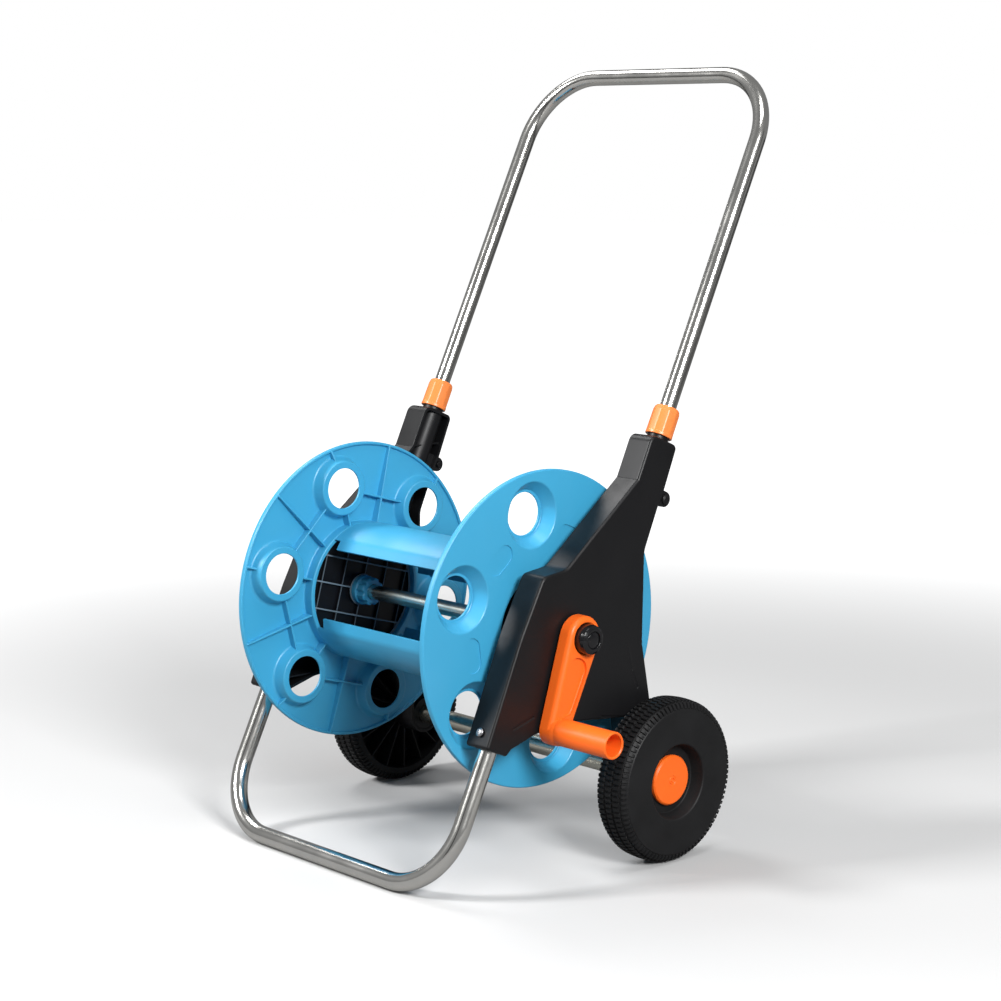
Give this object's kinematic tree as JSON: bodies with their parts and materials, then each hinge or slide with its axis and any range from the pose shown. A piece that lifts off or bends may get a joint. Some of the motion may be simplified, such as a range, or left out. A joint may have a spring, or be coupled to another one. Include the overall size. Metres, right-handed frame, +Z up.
{
  "type": "garden hose reel cart",
  "caption": "Two-wheeled hose reel cart: crank-turned drum between two side panels, a leaning foot tube in front and a sliding U-shaped pull handle.",
  "frame": {"origin": "middle of the footprint's bounding rectangle, at the height of the ground", "axes": "+Z up, +X towards the crank side along the reel's axis, +Y towards the wheels and the pull handle"},
  "size_m": [0.4698, 0.4552, 0.756],
  "materials": {
    "black_plastic": "fine moulded texture, satin",
    "blue_plastic": "smooth moulded, semi-gloss",
    "orange_plastic": "smooth moulded, semi-gloss",
    "wheel_rubber": "matte moulded tread",
    "bright_steel": "bright polished stainless tube",
    "zinc_steel": "zinc-plated"
  },
  "bodies": {
    "root": {"left_panel": "black_plastic", "right_panel": "black_plastic", "left_lug_pin": "black_plastic", "right_lug_pin": "black_plastic", "left_reel_bearing": "black_plastic", "right_reel_bearing": "black_plastic", "left_axle_spacer": "black_plastic", "right_axle_spacer": "black_plastic", "left_axle_plug": "zinc_steel", "right_axle_plug": "zinc_steel", "left_clamp_ring": "black_plastic", "right_clamp_ring": "black_plastic", "left_foot_screw": "zinc_steel", "right_foot_screw": "zinc_steel", "foot_tube": "bright_steel", "water_inlet": "black_plastic", "wheel_axle": "bright_steel"},
    "reel": {"left_flange": "blue_plastic", "right_flange": "blue_plastic", "left_hub_plate": "black_plastic", "right_hub_plate": "black_plastic", "left_hub_nut": "blue_plastic", "right_hub_nut": "blue_plastic", "drum_shell_top": "blue_plastic", "drum_shell_bottom": "blue_plastic", "reel_shaft": "bright_steel", "shaft_end_plug": "black_plastic", "crank_arm": "orange_plastic", "crank_knob": "black_plastic", "crank_screw": "zinc_steel"},
    "left_wheel": {"left_wheel": "wheel_rubber", "left_hub_cap": "orange_plastic"},
    "right_wheel": {"right_wheel": "wheel_rubber", "right_hub_cap": "orange_plastic"},
    "handle": {"handle_tube": "bright_steel", "left_tube_plug": "black_plastic", "right_tube_plug": "black_plastic"},
    "left_collar": {"left_collar": "orange_plastic"},
    "right_collar": {"right_collar": "orange_plastic"}
  },
  "joints": [
    {"name": "reel_spin", "type": "hinge", "parent": "root", "child": "reel", "pos_m": [-0.0221, -0.06808, 0.2284], "axis": [1, 0, 0], "continuous": true},
    {"name": "left_wheel_spin", "type": "hinge", "parent": "root", "child": "left_wheel", "pos_m": [-0.21675, 0.03852, 0.079], "axis": [1, 0, 0], "continuous": true},
    {"name": "right_wheel_spin", "type": "hinge", "parent": "root", "child": "right_wheel", "pos_m": [0.17255, 0.03852, 0.079], "axis": [1, 0, 0], "continuous": true},
    {"name": "handle_slide", "type": "slide", "parent": "root", "child": "handle", "axis": [0, 0.4258, 0.9048], "range_m": [-0.16, 0]},
    {"name": "left_collar_twist", "type": "hinge", "parent": "root", "child": "left_collar", "pos_m": [-0.1814, 0.05162, 0.3911], "axis": [0, 0.4258, 0.9048], "range_deg": [0, 120]},
    {"name": "right_collar_twist", "type": "hinge", "parent": "root", "child": "right_collar", "pos_m": [0.1372, 0.05162, 0.3911], "axis": [0, 0.4258, 0.9048], "range_deg": [0, 120]}
  ]
}
